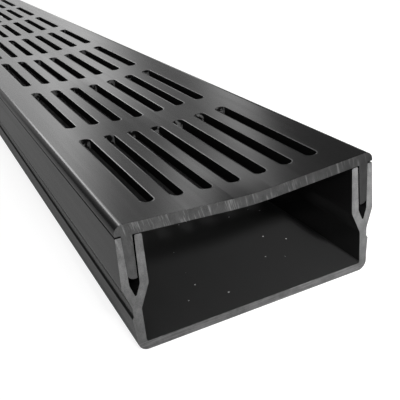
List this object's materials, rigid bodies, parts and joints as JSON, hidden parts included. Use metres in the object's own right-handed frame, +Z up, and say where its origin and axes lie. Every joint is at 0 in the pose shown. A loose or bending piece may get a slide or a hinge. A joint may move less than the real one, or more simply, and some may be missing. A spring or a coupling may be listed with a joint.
{
  "type": "channel drain",
  "caption": "Black PVC channel drain: a straight gutter of uniform section with forked side walls, closed by a clip-in dished cover with rows of long slots.",
  "frame": {"origin": "middle of the underside of the channel, halfway along its length", "axes": "+Y along the drain, away from the end that the picture shows; +X across it; +Z up, towards the slotted cover"},
  "size_m": [0.1314, 1, 0.0635],
  "materials": {
    "channel_pvc": "satin black PVC as extruded, with sawn ends",
    "cover_pvc": "satin black PVC as extruded, with sawn ends and punched slots"
  },
  "bodies": {
    "root": {"channel": "channel_pvc", "cover": "cover_pvc"}
  },
  "joints": []
}
